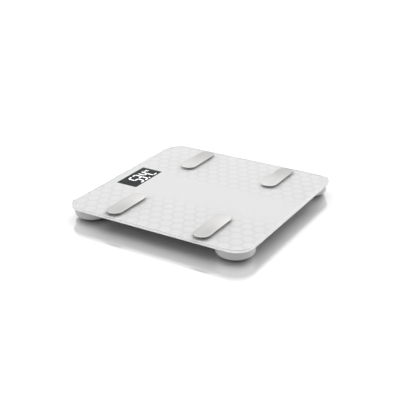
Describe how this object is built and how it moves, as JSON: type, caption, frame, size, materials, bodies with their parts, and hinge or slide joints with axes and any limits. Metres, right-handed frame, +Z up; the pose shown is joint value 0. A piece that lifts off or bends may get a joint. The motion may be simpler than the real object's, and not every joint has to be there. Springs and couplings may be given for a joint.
{
  "type": "digital bathroom scale",
  "caption": "Slim square glass bathroom scale with raised steel foot electrodes, a dark digital display at one edge and round cushioned corner feet.",
  "frame": {"origin": "centre of the footprint on the floor", "axes": "+Z up, +Y towards the display edge, +X to the right of a person standing on it facing the display"},
  "size_m": [0.3, 0.3, 0.0245],
  "materials": {
    "platform_glass": "clear tempered float glass, polished flat face and ground edge",
    "printed_film": "white back-printing with a faint honeycomb pattern",
    "electrode_steel": "satin brushed stainless steel",
    "foam_tape": "white double-sided foam tape",
    "zinc_steel": "bright zinc-plated steel",
    "nickel_plate": "nickel-plated spring steel",
    "electrode_lead_pvc": "red PVC insulation",
    "load_lead_pvc": "grey PVC insulation",
    "clip_nylon": "natural nylon",
    "gauge_silicone": "white silicone over the gauge",
    "housing_abs": "fine-textured light grey ABS",
    "cell_jacket": "printed foil jacket with bare steel ends",
    "lcd_glass": "negative liquid-crystal glass, near black, light segments",
    "light_guide": "white acrylic light guide",
    "lcd_frame_abs": "black ABS",
    "zebra_rubber": "layered conductive silicone",
    "board_laminate": "green solder mask on glass-epoxy laminate",
    "chip_epoxy": "black moulding epoxy",
    "crystal_steel": "tinned steel can",
    "capacitor_sleeve": "dark blue sleeve over aluminium",
    "connector_nylon": "natural nylon",
    "switch_body": "black thermoplastic",
    "button_abs": "mid grey ABS",
    "cup_abs": "light grey moulded ABS",
    "load_cell_steel": "nickel-plated spring steel",
    "base_abs": "grey moulded ABS",
    "pad_rubber": "dark grey rubber"
  },
  "bodies": {
    "platform": {"glass_platform": "platform_glass", "printed_film": "printed_film", "electrode_gaskets": "foam_tape", "electrode_washers": "zinc_steel", "ring_terminals": "nickel_plate", "electrode_nuts": "zinc_steel", "electrode_leads": "electrode_lead_pvc", "load_cell_leads": "load_lead_pvc", "lead_clips": "clip_nylon", "foot_adhesive": "foam_tape", "strain_gauges": "gauge_silicone", "load_cell_screws": "zinc_steel", "electronics_frame": "housing_abs", "frame_adhesive": "foam_tape", "bottom_cover": "housing_abs", "cover_screws": "zinc_steel", "battery_cells": "cell_jacket", "battery_contacts": "nickel_plate", "battery_springs": "nickel_plate", "lcd_panel": "lcd_glass", "lcd_backlight": "light_guide", "lcd_frame": "lcd_frame_abs", "zebra_strip": "zebra_rubber", "circuit_board": "board_laminate", "board_screws": "zinc_steel", "controller_chip": "chip_epoxy", "converter_chip": "chip_epoxy", "crystal_can": "crystal_steel", "capacitors": "capacitor_sleeve", "lead_connectors": "connector_nylon", "unit_switch": "switch_body", "electrode_front_left": "electrode_steel", "foot_cup_front_left": "cup_abs", "load_cell_front_left": "load_cell_steel", "electrode_front_right": "electrode_steel", "foot_cup_front_right": "cup_abs", "load_cell_front_right": "load_cell_steel", "electrode_rear_left": "electrode_steel", "foot_cup_rear_left": "cup_abs", "load_cell_rear_left": "load_cell_steel", "electrode_rear_right": "electrode_steel", "foot_cup_rear_right": "cup_abs", "load_cell_rear_right": "load_cell_steel"},
    "foot_front_left": {"foot_base_front_left": "base_abs", "rubber_pad_front_left": "pad_rubber"},
    "foot_front_right": {"foot_base_front_right": "base_abs", "rubber_pad_front_right": "pad_rubber"},
    "foot_rear_left": {"foot_base_rear_left": "base_abs", "rubber_pad_rear_left": "pad_rubber"},
    "foot_rear_right": {"foot_base_rear_right": "base_abs", "rubber_pad_rear_right": "pad_rubber"},
    "battery_door": {"battery_door": "housing_abs"},
    "unit_button": {"unit_button": "button_abs", "switch_plunger": "switch_body"}
  },
  "joints": [
    {"name": "foot_front_left_travel", "type": "slide", "parent": "platform", "child": "foot_front_left", "axis": [0, 0, 1], "range_m": [0, 0.0006], "stiffness_N_per_m": 3000, "springref_m": -0.0016, "deforming": ["load_cell_front_left"]},
    {"name": "foot_front_right_travel", "type": "slide", "parent": "platform", "child": "foot_front_right", "axis": [0, 0, 1], "range_m": [0, 0.0006], "stiffness_N_per_m": 3000, "springref_m": -0.0016, "deforming": ["load_cell_front_right"]},
    {"name": "foot_rear_left_travel", "type": "slide", "parent": "platform", "child": "foot_rear_left", "axis": [0, 0, 1], "range_m": [0, 0.0006], "stiffness_N_per_m": 3000, "springref_m": -0.0016, "deforming": ["load_cell_rear_left"]},
    {"name": "foot_rear_right_travel", "type": "slide", "parent": "platform", "child": "foot_rear_right", "axis": [0, 0, 1], "range_m": [0, 0.0006], "stiffness_N_per_m": 3000, "springref_m": -0.0016, "deforming": ["load_cell_rear_right"]},
    {"name": "battery_door_hinge", "type": "hinge", "parent": "platform", "child": "battery_door", "pos_m": [-0.0025, 0.0482, 0.0058], "axis": [-1, 0, 0], "range_deg": [0, 80]},
    {"name": "unit_button_press", "type": "slide", "parent": "platform", "child": "unit_button", "axis": [0, 0, 1], "range_m": [0, 0.0004], "stiffness_N_per_m": 80, "springref_m": -0.003}
  ]
}
